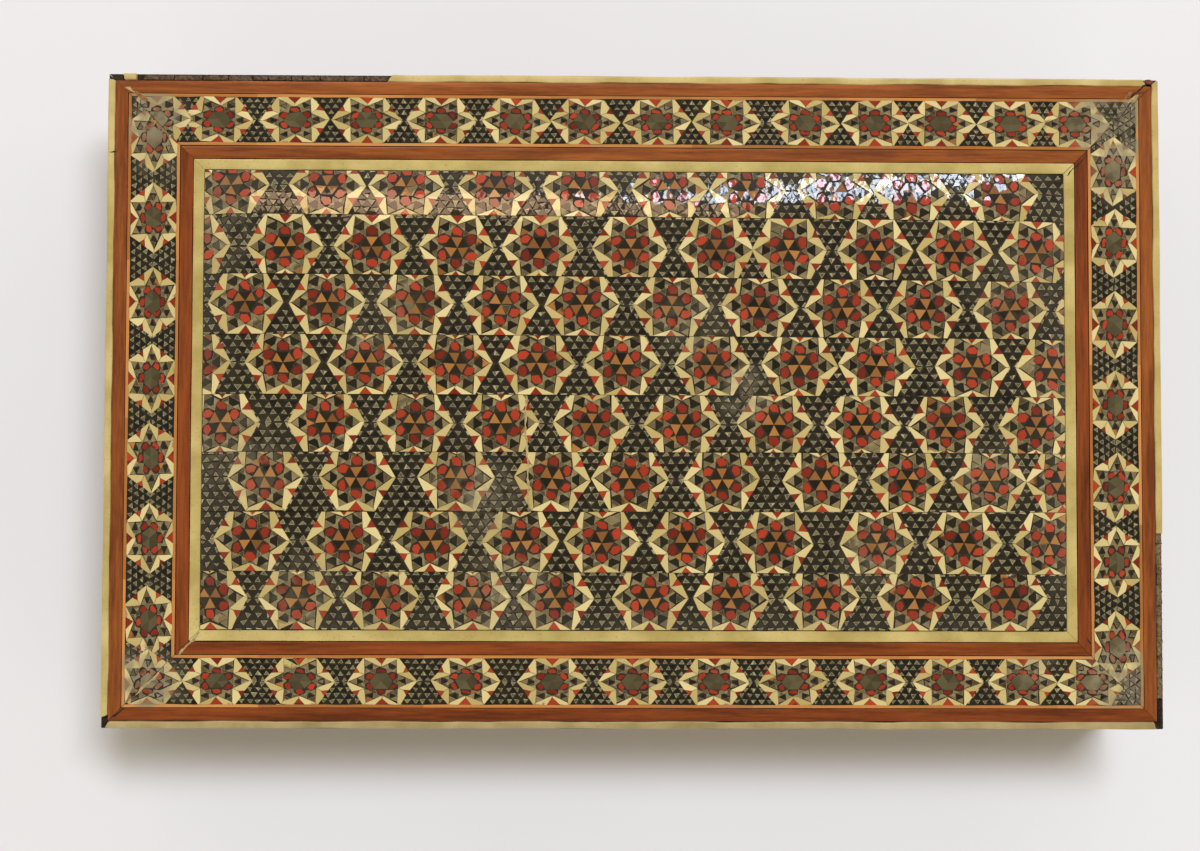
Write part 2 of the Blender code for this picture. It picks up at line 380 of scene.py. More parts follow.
def make_redwood(name, stretch, pale, deep):
    """Redwood veneer, sanded and varnished: close straight grain with darker pore streaks.

    Streaks are half a millimetre wide and, with the stretch, about 7 mm long.
    """
    material, tree, shader = new_material(name, {**ROD_BODY, "Coat Weight": 0.35, "Coat Roughness": 0.2})
    place = add_node(tree, "ShaderNodeTexCoord").outputs["Object"]
    laid = add_node(tree, "ShaderNodeMapping", {"Vector": place, "Scale": stretch})
    streaks = add_node(
        tree,
        "ShaderNodeTexNoise",
        {"Vector": laid.outputs[0], "Scale": cells(0.48), "Detail": 6.0, "Roughness": 0.75},
    )
    clouds = add_node(
        tree, "ShaderNodeTexNoise", {"Vector": laid.outputs[0], "Scale": cells(2.0), "Detail": 3.0}
    )
    mixed = add_node(
        tree,
        "ShaderNodeMath",
        {0: streaks.outputs[0], 1: 1.0, 2: clouds.outputs[0]},
        operation="MULTIPLY_ADD",
    )
    share = add_node(
        tree,
        "ShaderNodeMapRange",
        {"Value": mixed.outputs[0], "From Min": 0.78, "From Max": 1.22},
    )
    colour = add_node(
        tree,
        "ShaderNodeMix",
        {0: share.outputs[0], 6: linear(deep), 7: linear(pale)},
        data_type="RGBA",
    )
    tree.links.new(colour.outputs[2], shader.inputs["Base Color"])
    add_varnish(tree, shader, 0.02)
    return material


def make_edging_bone(name, pale, deep):
    """Camel bone sawn into edging: creamy yellow, faintly clouded, with small dark pores.

    The pores are drawn 0.4 mm wide, coarser than real ones, so that they show.
    """
    material, tree, shader = new_material(
        name, {"Roughness": 0.5, "Specular IOR Level": 0.3, "Coat Weight": 0.3, "Coat Roughness": 0.2}
    )
    place = add_node(tree, "ShaderNodeTexCoord").outputs["Object"]
    cloud = add_node(tree, "ShaderNodeTexNoise", {"Vector": place, "Scale": cells(5.9), "Detail": 5.0})
    pores = add_node(tree, "ShaderNodeTexNoise", {"Vector": place, "Scale": cells(0.38), "Detail": 3.0})
    share = add_node(
        tree,
        "ShaderNodeMapRange",
        {"Value": cloud.outputs[0], "From Min": 0.35, "From Max": 0.68},
    )
    body = add_node(
        tree,
        "ShaderNodeMix",
        {0: share.outputs[0], 6: linear(deep), 7: linear(pale)},
        data_type="RGBA",
    )
    dark = add_node(
        tree,
        "ShaderNodeMapRange",
        {"Value": pores.outputs[0], "From Min": 0.6, "From Max": 0.78, "To Max": 0.7},
    )
    colour = add_node(
        tree,
        "ShaderNodeMix",
        {0: dark.outputs[0], 6: body.outputs[2], 7: linear("#8c7440")},
        data_type="RGBA",
    )
    tree.links.new(colour.outputs[2], shader.inputs["Base Color"])
    bump = add_node(
        tree, "ShaderNodeBump", {"Strength": 0.6, "Distance": 0.03 * MM, "Height": pores.outputs[0]}
    )
    tree.links.new(bump.outputs[0], shader.inputs["Normal"])
    return material


def make_softwood(name, stretch):
    """Unfinished softwood, planed and dry: growth rings 3 mm apart as long pale and brown stripes."""
    material, tree, shader = new_material(name, {"Roughness": 0.75})
    place = add_node(tree, "ShaderNodeTexCoord").outputs["Object"]
    laid = add_node(tree, "ShaderNodeMapping", {"Vector": place, "Scale": stretch})
    rings = add_node(
        tree,
        "ShaderNodeTexNoise",
        {"Vector": laid.outputs[0], "Scale": cells(3.3), "Detail": 5.0, "Distortion": 0.4},
    )
    fibres = add_node(
        tree, "ShaderNodeTexNoise", {"Vector": laid.outputs[0], "Scale": cells(0.42), "Detail": 3.0}
    )
    mixed = add_node(
        tree,
        "ShaderNodeMath",
        {0: fibres.outputs[0], 1: 0.35, 2: rings.outputs[0]},
        operation="MULTIPLY_ADD",
    )
    share = add_node(
        tree,
        "ShaderNodeMapRange",
        {"Value": mixed.outputs[0], "From Min": 0.45, "From Max": 0.9},
    )
    colour = add_node(
        tree,
        "ShaderNodeMix",
        {0: share.outputs[0], 6: linear("#8a6338"), 7: linear("#c69c63")},
        data_type="RGBA",
    )
    tree.links.new(colour.outputs[2], shader.inputs["Base Color"])
    bump = add_node(
        tree, "ShaderNodeBump", {"Strength": 0.7, "Distance": 0.06 * MM, "Height": fibres.outputs[0]}
    )
    tree.links.new(bump.outputs[0], shader.inputs["Normal"])
    return material


def make_old_glue(name, pale, deep):
    """Hide glue and dirt left where the edging is lost: brown-grey, crazed and matt."""
    material, tree, shader = new_material(name, {"Roughness": 0.8})
    place = add_node(tree, "ShaderNodeTexCoord").outputs["Object"]
    grit = add_node(
        tree, "ShaderNodeTexNoise", {"Vector": place, "Scale": cells(0.67), "Detail": 5.0, "Roughness": 0.7}
    )
    share = add_node(
        tree,
        "ShaderNodeMapRange",
        {"Value": grit.outputs[0], "From Min": 0.35, "From Max": 0.7},
    )
    colour = add_node(
        tree,
        "ShaderNodeMix",
        {0: share.outputs[0], 6: linear(deep), 7: linear(pale)},
        data_type="RGBA",
    )
    tree.links.new(colour.outputs[2], shader.inputs["Base Color"])
    bump = add_node(
        tree, "ShaderNodeBump", {"Strength": 1.0, "Distance": 0.12 * MM, "Height": grit.outputs[0]}
    )
    tree.links.new(bump.outputs[0], shader.inputs["Normal"])
    return material


def make_paper(name):
    """The table: smooth off-white board with the faintest mottle."""
    material, tree, shader = new_material(name, {"Roughness": 0.65})
    place = add_node(tree, "ShaderNodeTexCoord").outputs["Object"]
    mottle = add_node(tree, "ShaderNodeTexNoise", {"Vector": place, "Scale": cells(71.0), "Detail": 3.0})
    colour = add_node(
        tree,
        "ShaderNodeMix",
        {0: mottle.outputs[0], 6: linear("#e3e3e0"), 7: linear("#e9eae9")},
        data_type="RGBA",
    )
    tree.links.new(colour.outputs[2], shader.inputs["Base Color"])
    return material


# Meshes


def make_piece(name, points, faces, materials, slots=None, tones=None, points_tones=None, normals=None):
    """Puts points in millimetres and faces into a new object at the origin.

    Slots and tones have a value for each face, points_tones one for each point under each
    label, and normals one for each corner of each face, in order. Without normals the mesh
    is smooth but for edges sharper than 38 degrees.
    """
    mesh = bpy.data.meshes.new(name)
    mesh.from_pydata((np.asarray(points) * MM).tolist(), [], faces)
    for material in materials:
        mesh.materials.append(material)
    if slots is not None:
        mesh.polygons.foreach_set("material_index", np.asarray(slots, dtype=np.int32))
    if tones is not None:
        layer = mesh.attributes.new("tone", "FLOAT", "FACE")
        layer.data.foreach_set("value", np.asarray(tones, dtype=np.float32))
    for label, values in (points_tones or {}).items():
        layer = mesh.attributes.new(label, "FLOAT", "POINT")
        layer.data.foreach_set("value", np.asarray(values, dtype=np.float32))
    mesh.update()
    mesh.shade_smooth()
    if normals is None:
        mesh.set_sharp_from_angle(angle=math.radians(38))
    else:
        mesh.normals_split_custom_set(normals.tolist())
    obj = bpy.data.objects.new(name, mesh)
    bpy.context.scene.collection.objects.link(obj)
    return obj


def finish_piece(piece, slot, *nodes):
    """Puts a piece on the box's one body and hides the nodes that it stands for. The slot is not used."""
    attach(piece, "root")
    if nodes:
        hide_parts(*nodes)


def bar_profile(width, height, rounding):
    """A bar's section from the outer foot over the top to the inner foot.

    The upper corners are quarter circles; the top has extra points so that it can wander.
    """
    arc = np.linspace(0.0, math.pi / 2, 5)
    cos, sin = rounding * np.cos(arc), rounding * np.sin(arc)
    outer = np.stack((rounding - cos, height - rounding + sin), axis=1)
    inner = np.stack((width - rounding + sin, height - rounding + cos), axis=1)
    top = np.stack((np.linspace(rounding, width - rounding, 4)[1:-1], np.full(2, height)), axis=1)
    return np.vstack(((0.0, 0.0), outer, top, inner, (width, 0.0)))


def closed_tube_faces(rows, columns):
    """Quads round a tube of rows of points, each row closed, with both ends capped."""
    row, column = np.meshgrid(np.arange(rows - 1), np.arange(columns), indexing="ij")
    after = (column + 1) % columns
    here, there = row * columns, (row + 1) * columns
    quads = np.stack((here + column, here + after, there + after, there + column), axis=-1)
    faces = quads.reshape(-1, 4).tolist()
    faces.append(list(range(columns))[::-1])
    faces.append([(rows - 1) * columns + i for i in range(columns)])
    return faces


def lay_bar(name, side, inset, width, bottom, top, rounding, material, seed, ends=(None, None), wobble=0.03):
    """A bar along one side: its section carried along, its long edges wandering a little.

    An end without a value is mitred and opened by its corner's share. An end with a value is
    broken: the distance from the corner, its slant across the bar and its raggedness.
    """
    _, half_run, _ = SIDES[side]
    section = bar_profile(width, top - bottom, rounding)
    across, up = section[:, 0], section[:, 1]
    limits = []
    for end, corner in zip(ends, CORNERS[side]):
        if end is None:
            limits.append(half_run - inset - across - MITRE_OPENING[corner] / 2)
        else:
            distance, slant, rag = end
            ragged = rag * wander(across * 3.0 + up, seed + 5, 2.0)
            limits.append(half_run - distance - slant * across - ragged)
    steps = max(int(2 * half_run / 1.2), 2)
    share = np.linspace(0.0, 1.0, steps + 1)[:, None]
    along = -limits[0] + (limits[0] + limits[1]) * share
    lean = (across / width)[None, :]
    outer_drift = wobble * (0.5 + 0.5 * wander(along, seed, 37.0))
    inner_drift = wobble * wander(along, seed + 1, 23.0)
    drift = outer_drift * (1.0 - lean) + inner_drift * lean
    sag = -0.04 * (0.5 + 0.5 * wander(along, seed + 2, 15.0)) * (up / up.max())[None, :]
    points = to_world(side, along, inset + across[None, :] + drift, bottom + up[None, :] + sag)
    faces = closed_tube_faces(steps + 1, len(across))
    return make_piece(name, points.reshape(-1, 3), faces, [material])


# Star marquetry


class Motif:
    """Corner points and rods of one motif; a rod is a material's name and its corners in order."""

    def __init__(self):
        self.points = []
        self.rods = []
        self.middle = self.corner(0.0, 0.0)

    def corner(self, radius, degrees, aside=0.0):
        """The point at a radius in a direction, moved aside square to it; one that is there is shared."""
        cos, sin = math.cos(math.radians(degrees)), math.sin(math.radians(degrees))
        point = (radius * cos - aside * sin, radius * sin + aside * cos)
        for index, other in enumerate(self.points):
            if math.dist(point, other) < 1e-6:
                return index
        self.points.append(point)
        return len(self.points) - 1

    def rod(self, material, *corners):
        """Adds a rod over the earlier ones."""
        self.rods.append((material, corners))


# Reach of the bone round the star and of the star's own points, in the star's units
TIP = 4.0
POINT_TIP = 3.66


def add_star_points(star, notch_radius, heart_share):
    """The six points of the star, each four triangles: grey corners round a dark one."""
    side = notch_radius / 4
    for turn in range(0, 360, 60):
        left = star.corner(notch_radius, turn - 30)
        right = star.corner(notch_radius, turn + 30)
        base = star.corner(POINT_TIP / 2, turn)
        low = star.corner(POINT_TIP * 0.75, turn, -side)
        high = star.corner(POINT_TIP * 0.75, turn, side)
        star.rod("metal", left, low, base)
        star.rod("metal", base, high, right)
        star.rod("metal", low, star.corner(POINT_TIP, turn), high)
        middle = POINT_TIP * 2 / 3
        reach = POINT_TIP / 12 * heart_share
        star.rod(
            "black",
            star.corner(middle - 2 * reach, turn),
            star.corner(middle + reach, turn, -side * heart_share),
            star.corner(middle + reach, turn, side * heart_share),
        )


def add_ring(star, inner, outer, half_width):
    """Six red rods, each a long skewed hexagon lying across the direction of a notch."""
    middle = (inner + outer) / 2
    skew = half_width * 0.22
    for turn in range(30, 360, 60):
        star.rod(
            "red",
            star.corner(inner, turn, -half_width * 0.6 - skew),
            star.corner(middle, turn, -half_width),
            star.corner(outer, turn, -half_width * 0.6 + skew),
            star.corner(outer, turn, half_width * 0.6 + skew),
            star.corner(middle, turn, half_width),
            star.corner(inner, turn, half_width * 0.6 - skew),
        )


def add_bone_chevrons(star, notch_radius, flanks, crown):
    """A bone V in each notch with a red triangle between its arms, out to the hexagon of the tips.

    Flanks and crown give the red triangle's apex and half its base, for the four notches at
    the sides and for the two at the strip's edges, where the strip's cut takes its base away.
    """
    edge = TIP * math.cos(math.radians(30))
    for turn in range(0, 360, 60):
        toward = turn + 30
        apex_radius, half_base = crown if toward % 180 == 90 else flanks
        notch = star.corner(notch_radius, toward)
        apex = star.corner(apex_radius, toward)
        left = star.corner(edge, toward, -half_base)
        right = star.corner(edge, toward, half_base)
        star.rod("bone", star.corner(POINT_TIP, turn), star.corner(TIP, turn), left, apex, notch)
        after = turn + 60
        star.rod("bone", star.corner(POINT_TIP, after), notch, apex, right, star.corner(TIP, after))
        star.rod("red", apex, left, right)


def panel_star():
    """The panel's star: a core of six triangles, red rods in the notches, points and chevrons."""
    star = Motif()
    notch_radius, core = 2.36, 1.24
    add_star_points(star, notch_radius, 1.15)
    for turn in range(0, 360, 60):
        star.rod("metal", star.corner(core, turn), star.corner(2.0, turn, -0.5), star.corner(2.0, turn, 0.5))
    add_ring(star, 1.26, 2.14, 0.55)
    for turn in range(0, 360, 60):
        material = "black" if turn % 120 else "orange"
        star.rod(material, star.middle, star.corner(core, turn), star.corner(core, turn + 60))
    add_bone_chevrons(star, notch_radius, (2.66, 0.46), (2.52, 0.8))
    return star


def border_star():
    """The border's star: an olive core in a wavy red ring, darker points and wide chevrons."""
    star = Motif()
    notch_radius, core = 2.12, 1.3
    add_star_points(star, notch_radius, 0.7)
    for turn in range(0, 360, 60):
        star.rod("metal", star.corner(core, turn), star.corner(2.0, turn, -0.6), star.corner(2.0, turn, 0.6))
    add_ring(star, 1.18, 1.82, 0.54)
    for turn in range(0, 360, 60):
        star.rod("olive", star.middle, star.corner(core, turn), star.corner(core, turn + 60))
    add_bone_chevrons(star, notch_radius, (2.8, 0.5), (2.42, 0.75))
    return star


# Rows of lattice rods from a strip's middle line to its edge, and how much longer than high they are
LATTICE_ROWS = 4
LATTICE_STRETCH = 1.22
# How far dark lattice rods reach under a star, and how far the middle of the lattice beyond a
# strip's last star is from that star, in units
STAR_OVERLAP = 0.15
END_GAP = 4.6


def lattice_rods(reach, half_row, grey_share):
    """The lattice in the gap between two stars, centred on 0: dark and grey triangles.

    Rows go from the strip's middle line to past each edge, where the strip is cut. In each, dark
    triangles stand on their points with grey ones between, a little smaller than their places.
    """
    rise = half_row / LATTICE_ROWS
    side = rise * 2 / math.sqrt(3) * LATTICE_STRETCH
    spare = int(reach / side) + 1
    triangles = []
    for flip in (1.0, -1.0):
        for row in range(LATTICE_ROWS + 1):
            low, high = flip * row * rise, flip * (row + 1) * rise
            for step in range(-spare, row + 1 + spare):
                x = (step - row / 2) * side
                triangles.append(("black", ((x, low), (x + side / 2, high), (x - side / 2, high))))
                corners = np.array(((x, low), (x + side, low), (x + side / 2, high)))
                centre = corners.mean(axis=0)
                triangles.append(("dull", centre + (corners - centre) * grey_share))
    return triangles


def signed_area(polygon):
    """Half the sum of the cross products of neighbouring corners; above 0 runs anticlockwise."""
    ahead = np.roll(polygon, -1, axis=0)
    return np.sum(polygon[:, 0] * ahead[:, 1] - polygon[:, 1] * ahead[:, 0]) / 2


def polygon_inset(polygon, rim):
    """A rod's outline drawn in towards its middle, by about the width of its rim."""
    ahead = np.roll(polygon, -1, axis=0)
    area = abs(signed_area(polygon))
    girth = np.sum(np.hypot(*(ahead - polygon).T))
    centre = polygon.mean(axis=0)
    share = max(1.0 - rim * girth / (2 * area + 1e-9), 0.3)
    return centre + (polygon - centre) * share


MATERIAL_SLOTS = ("glue", "bone", "red", "black", "metal", "orange", "olive", "line", "dull")
# Rods without an inner ring of points: they have no rim, or one that fades to a point in the middle
PLAIN_RODS = ("black", "olive", "line", "dull")


def triangulate(outline, rods, rng):
    """Cuts a strip's outline and its rods into triangles that share their corners.

    Returns the points, the triangles, and for each triangle its rod, material, tone and lean.
    Where rods overlap, the later one shows. What no rod covers is glue. The triangulation may
    give a triangle to a rod that only touches it, so a rod has to have it within its own box.
    """
    points = [tuple(corner) for corner in outline]
    faces = [tuple(range(len(outline)))]
    owners = [0]
    for number, (material, polygon) in enumerate(rods, start=1):
        if signed_area(polygon) < 0:
            polygon = polygon[::-1]
        rings = (polygon,) if material in PLAIN_RODS else (polygon, polygon_inset(polygon, ROD_RIM))
        if material == "dull":
            # The point in the middle, up to which its rim fades
            points.append(tuple(polygon.mean(axis=0)))
        for ring in rings:
            start = len(points)
            points.extend(map(tuple, ring))
            faces.append(tuple(range(start, start + len(ring))))
            owners.append(number)
    flat, _, triangles, _, _, origins = delaunay_2d_cdt(points, [], faces, 1, 1e-4, True)
    flat = np.array([tuple(point) for point in flat])
    triangles = np.array(triangles)
    laid = np.array([0 in origin for origin in origins])
    here, face = np.array([(row, face) for row, origin in enumerate(origins) for face in origin]).T
    owner = np.array(owners)[face]
    polygons = [np.array(outline), *(polygon for _, polygon in rods)]
    low = np.array([polygon.min(axis=0) for polygon in polygons])[owner]
    high = np.array([polygon.max(axis=0) for polygon in polygons])[owner]
    middle = flat[triangles].mean(axis=1)[here]
    true = np.all((middle > low) & (middle < high), axis=1)
    shown = np.zeros(len(triangles), dtype=int)
    np.maximum.at(shown, here[true], owner[true])
    kept = triangles[laid]
    shown = shown[laid]
    names = ["glue"] + [material for material, _ in rods]
    slots = np.array([MATERIAL_SLOTS.index(name) for name in names])[shown]
    tones = rng.random(len(names))[shown]
    leans = rng.normal(0.0, 1.0, (len(names), 2))[shown]
    used, kept = np.unique(kept, return_inverse=True)
    return flat[used], kept.reshape(-1, 3), shown, slots, tones, leans


def heart_values(count, triangles, shown):
    """1 at a point inside one rod, 0 at a point where rods meet."""
    least = np.full(count, np.iinfo(np.int64).max)
    most = np.full(count, -1)
    for column in range(3):
        np.minimum.at(least, triangles[:, column], shown)
        np.maximum.at(most, triangles[:, column], shown)
    return (least == most).astype(float)


def split_strip(outline, rods, places):
    """Cuts a strip into blocks of two stars, as it was glued up: each an outline and its rods."""
    start_low, end_low, end_high, start_high = (np.array(corner) for corner in outline)

    def cut(x):
        low = start_low + (end_low - start_low) * (x - start_low[0]) / (end_low[0] - start_low[0])
        high = start_high + (end_high - start_high) * (x - start_high[0]) / (end_high[0] - start_high[0])
        return low, high

    seams = [(places[i] + places[i + 1]) / 2 for i in range(1, len(places) - 1, 2)]
    sides = [(start_low, start_high), *map(cut, seams), (end_low, end_high)]
    spans = np.array([(polygon[:, 0].min(), polygon[:, 0].max()) for _, polygon in rods])
    blocks = []
    for (low, high), (next_low, next_high) in zip(sides, sides[1:]):
        left, right = min(low[0], high[0]), max(next_low[0], next_high[0])
        near = (spans[:, 1] > left) & (spans[:, 0] < right)
        members = [rod for rod, shown in zip(rods, near) if shown]
        blocks.append(((low, next_low, next_high, high), members))
    return blocks


def boundary_edges(triangles, count):
    """The edges that only one triangle has, each running with the patch on its left."""
    edges = np.concatenate([triangles[:, ends] for ends in ([0, 1], [1, 2], [2, 0])]).astype(np.int64)
    codes = edges[:, 0] * count + edges[:, 1]
    backwards = edges[:, 1] * count + edges[:, 0]
    return edges[~np.isin(codes, backwards)]


def star_rods(star, centre, unit, squash, turn, rng):
    """One star's rods at its place, with a few rods of the wrong wood, as the real ones have."""
    cos, sin = math.cos(math.radians(turn)), math.sin(math.radians(turn))
    corners = np.array(star.points) * (unit, unit * squash) @ np.array(((cos, sin), (-sin, cos))) + centre
    swap = rng.random() < SWAPPED_CORES
    rods = []
    for material, indices in star.rods:
        chance = rng.random()
        if swap and material in ("black", "orange") and star.middle in indices:
            material = {"black": "orange", "orange": "black"}[material]
        if material == "metal" and chance < ORANGE_FOR_METAL:
            material = "orange"
        elif material == "black" and chance > 1.0 - METAL_FOR_BLACK:
            material = "metal"
        polygon = corners[list(indices)]
        if material == "metal":
            polygon = polygon.mean(axis=0) + (polygon - polygon.mean(axis=0)) * METAL_ROD_SHARE
        rods.append((material, polygon))
    return rods


def out_of_true(rods, rng, wobble):
    """Moves every corner a little; corners that rods share move together."""
    corners = np.vstack([polygon for _, polygon in rods])
    _, shared = np.unique(np.round(corners, 2), axis=0, return_inverse=True)
    shared = shared.ravel()
    moved = corners + rng.normal(0.0, wobble, (shared.max() + 1, 2))[shared]
    cuts = np.cumsum([len(polygon) for _, polygon in rods])[:-1]
    return [(material, polygon) for (material, _), polygon in zip(rods, np.split(moved, cuts))]


def hexagon_distance(offsets, squash):
    """How far points are from a middle, square to the nearest side of a hexagon with a corner on X."""
    directions = np.radians((30.0, 90.0, 150.0))
    squares = np.stack((np.cos(directions), np.sin(directions)))
    return np.abs(offsets / (1.0, squash) @ squares).max(axis=-1)


def lay_rods(star, unit, half_row, places, centre_line, span, rng, grey_share, squash=1.0):
    """The rods of one strip: lattices in every gap first, then the stars on top of them.

    A grey lattice rod needs its middle outside the stars; a dark one needs only a corner there.
    """
    star_reach = TIP * unit * math.cos(math.radians(30)) - STAR_OVERLAP
    rods = []
    ends = [span[0] - unit * TIP, *places, span[1] + unit * TIP]
    for left, right in zip(ends, ends[1:]):
        middle = (left + right) / 2
        if left == ends[0]:
            middle = right - unit * END_GAP
        if right == ends[-1]:
            middle = left + unit * END_GAP
        reach = max(middle - left, right - middle)
        for material, triangle in lattice_rods(reach, half_row, grey_share):
            triangle = np.asarray(triangle) + (middle, centre_line(middle))
            tested = triangle.mean(axis=0)[None, :] if material == "dull" else triangle
            outside = [
                hexagon_distance(tested - (place, centre_line(place)), squash).max() > star_reach
                for place in (left, right)
            ]
            if not all(outside) or triangle[:, 0].max() < left or triangle[:, 0].min() > right:
                continue
            rods.append((material, triangle))
    for place in places:
        tilt = math.degrees(math.atan(centre_line(place + 1.0) - centre_line(place)))
        tilt += rng.normal(0.0, STAR_TURN_SPREAD)
        rods.extend(star_rods(star, (place, centre_line(place)), unit, squash, tilt, rng))
    return out_of_true(rods, rng, ROD_WOBBLE * unit)


def close_slab(flat, top, under, triangles):
    """Closes a patch to a slab: walls round it, and below them the outline cut into few triangles.

    Returns the points, the walls, the faces underneath, and which points of the patch have
    one below them.
    """
    count = len(top)
    rim = boundary_edges(triangles, count)
    rim_points = np.unique(rim)
    order = {point: place for place, point in enumerate(rim_points.tolist())}
    short_edges = [(order[here], order[there]) for here, there in rim.tolist()]
    corners = [tuple(point) for point in flat[rim_points]]
    _, _, patches, sources, _, _ = delaunay_2d_cdt(corners, short_edges, [], 1, 1e-6, True)
    bottom = [[count + sources[corner][0] for corner in patch][::-1] for patch in patches]
    walls = [[here, count + order[here], count + order[there], there] for here, there in rim.tolist()]
    return np.vstack((top, under[rim_points])), walls, bottom


def face_normal(points):
    """The unit normal of the plane through the first three points of each face in an array."""
    cross = np.cross(points[:, 1] - points[:, 0], points[:, 2] - points[:, 0])
    return cross / np.maximum(np.linalg.norm(cross, axis=1, keepdims=True), 1e-12)


def haze_at(points, spots):
    """How hazed each point is: fully up to 0.35 of a spot's radius, and no more at its radius."""
    haze = np.zeros(len(points))
    for centre, radius, strength in spots:
        distance = np.linalg.norm(points - np.array(centre), axis=1)
        haze = np.maximum(haze, strength * (1.0 - smooth_step(distance, radius * 0.35, radius)))
    return haze


# A rod leans along X and along Y
LEAN_AXES = np.array(((1.0, 0.0, 0.0), (0.0, 1.0, 0.0)))


def lay_marquetry(name, strips, place, lean_degrees, materials, haze_spots, seed):
    """One piece of star marquetry from its strips.

    Each strip is an outline and its rods in the piece's own plane. Place turns points in that
    plane into the surface's points, its normals and the points on the bed below.
    """
    rng = np.random.default_rng(seed)
    all_points, all_faces, all_slots, all_tones, all_hearts, all_normals = [], [], [], [], [], []
    offset = 0
    for outline, rods in strips:
        flat, triangles, shown, slots, tones, leans = triangulate(outline, rods, rng)
        top, normals, under = place(flat)
        points, walls, bottom = close_slab(flat, top, under, triangles)
        hearts = heart_values(len(flat), triangles, shown)
        leaned = normals[triangles]
        leaned = leaned + math.radians(lean_degrees) * (leans @ LEAN_AXES)[:, None, :]
        leaned /= np.linalg.norm(leaned, axis=-1, keepdims=True)
        wall_normals = np.repeat(face_normal(points[np.array(walls)[:, :3]])[:, None, :], 4, axis=1)
        down = np.repeat(-normals.mean(axis=0, keepdims=True), 3 * len(bottom), axis=0)
        all_normals += [leaned.reshape(-1, 3), wall_normals.reshape(-1, 3), down]
        all_points.append(points)
        all_faces += [[corner + offset for corner in face] for face in triangles.tolist() + walls + bottom]
        hidden = len(walls) + len(bottom)
        all_slots += [slots, np.zeros(hidden, dtype=int)]
        all_tones += [tones, np.full(hidden, 0.2)]
        all_hearts += [hearts, np.zeros(len(points) - len(flat))]
        offset += len(points)
    points = np.vstack(all_points)
    return make_piece(
        name,
        points,
        all_faces,
        materials,
        slots=np.concatenate(all_slots),
        tones=np.concatenate(all_tones),
        points_tones={"heart": np.concatenate(all_hearts), "haze": haze_at(points, haze_spots)},
        normals=np.vstack(all_normals),
    )


def strip_outline(half, front, back):
    """A strip's corners; front and back give the places of its edges at its left and right end."""
    gap = STRIP_SEAM / 2
    return ((-half, front[0] + gap), (half, front[1] + gap), (half, back[1] - gap), (-half, back[0] - gap))


def middle_line(left, right):
    """A strip's middle line: a function of x, straight from the panel's left end to its right."""

    def height(x):
        return left + (right - left) * (x + PANEL_HALF_X) / (2 * PANEL_HALF_X)

    return height


# Cushioned panel


def shoulder(distance):
    """Share of the shoulder's rise at this distance from the edge: 1 - (1 - d / width) ** power."""
    left = 1.0 - np.clip(distance / CUSHION_SHOULDER_WIDTH, 0.0, 1.0)
    return 1.0 - left**SHOULDER_POWER


def cushion_height(x, y):
    """Height above the border: the edge, both shoulders multiplied, and a shallow crown."""
    shoulders = shoulder(PANEL_HALF_X - np.abs(x)) * shoulder(PANEL_HALF_Y - np.abs(y))
    crown = (1.0 - (x / PANEL_HALF_X) ** 2) * (1.0 - (y / PANEL_HALF_Y) ** 2)
    return CUSHION_EDGE_RISE + CUSHION_SHOULDER_RISE * shoulders + CUSHION_CROWN * crown


def place_on_cushion(flat):
    """Lifts plane points to the cushion; normals come from the height's slope over 0.02 mm."""
    x, y = flat[:, 0], flat[:, 1]
    step = 0.01
    top = np.stack((x, y, LID_TOP + cushion_height(x, y)), axis=1)
    slope_x = (cushion_height(x + step, y) - cushion_height(x - step, y)) / (2 * step)
    slope_y = (cushion_height(x, y + step) - cushion_height(x, y - step)) / (2 * step)
    normals = np.stack((-slope_x, -slope_y, np.ones(len(x))), axis=1)
    normals /= np.linalg.norm(normals, axis=1, keepdims=True)
    under = np.stack((x, y, np.full(len(x), INLAY_BED)), axis=1)
    return top, normals, under


def build_panel(materials):
    """The cushion's eight strips of stars, laid side by side with a fine seam between them."""
    rng = np.random.default_rng(11)
    star = panel_star()
    strips = []
    edge_x = PANEL_HALF_X - 0.02
    for row, star_pixels in enumerate(PANEL_STAR_PIXELS):
        places = panel_star_places(*star_pixels)
        outline = strip_outline(edge_x, PANEL_SEAMS[row + 1], PANEL_SEAMS[row])
        line = middle_line(*PANEL_ROWS[row])
        rods = lay_rods(
            star, PANEL_UNIT, PANEL_HALF_ROW, places, line, (-edge_x, edge_x), rng, PANEL_GREY_SHARE
        )
        strips.extend(split_strip(outline, rods, places))
    panel = lay_marquetry("star_panel", strips, place_on_cushion, PANEL_LEAN, materials, PANEL_HAZE, 21)
    finish_piece(panel, "khatam", "cushion_panel")


# Hazed and rubbed patches: where, how wide and how strong
PANEL_HAZE = (
    ((-20.0, -30.0, 47.0), 9.0, 0.6),
    ((-24.0, -16.0, 48.0), 8.0, 0.8),
    ((-62.0, -10.0, 48.0), 10.0, 0.5),
    ((-66.0, 28.0, 46.5), 10.0, 0.45),
    ((-40.0, 12.0, 48.0), 9.0, 0.35),
    ((9.0, 12.0, 48.0), 8.0, 0.4),
    ((17.0, 1.0, 48.0), 6.0, 0.7),
    ((38.0, -25.0, 48.0), 8.0, 0.4),
    ((60.0, 18.0, 47.5), 9.0, 0.35),
    ((56.0, -12.0, 48.0), 8.0, 0.35),
    ((-52.0, -30.0, 46.5), 9.0, 0.4),
)


# Border, sides and lid bands of stars


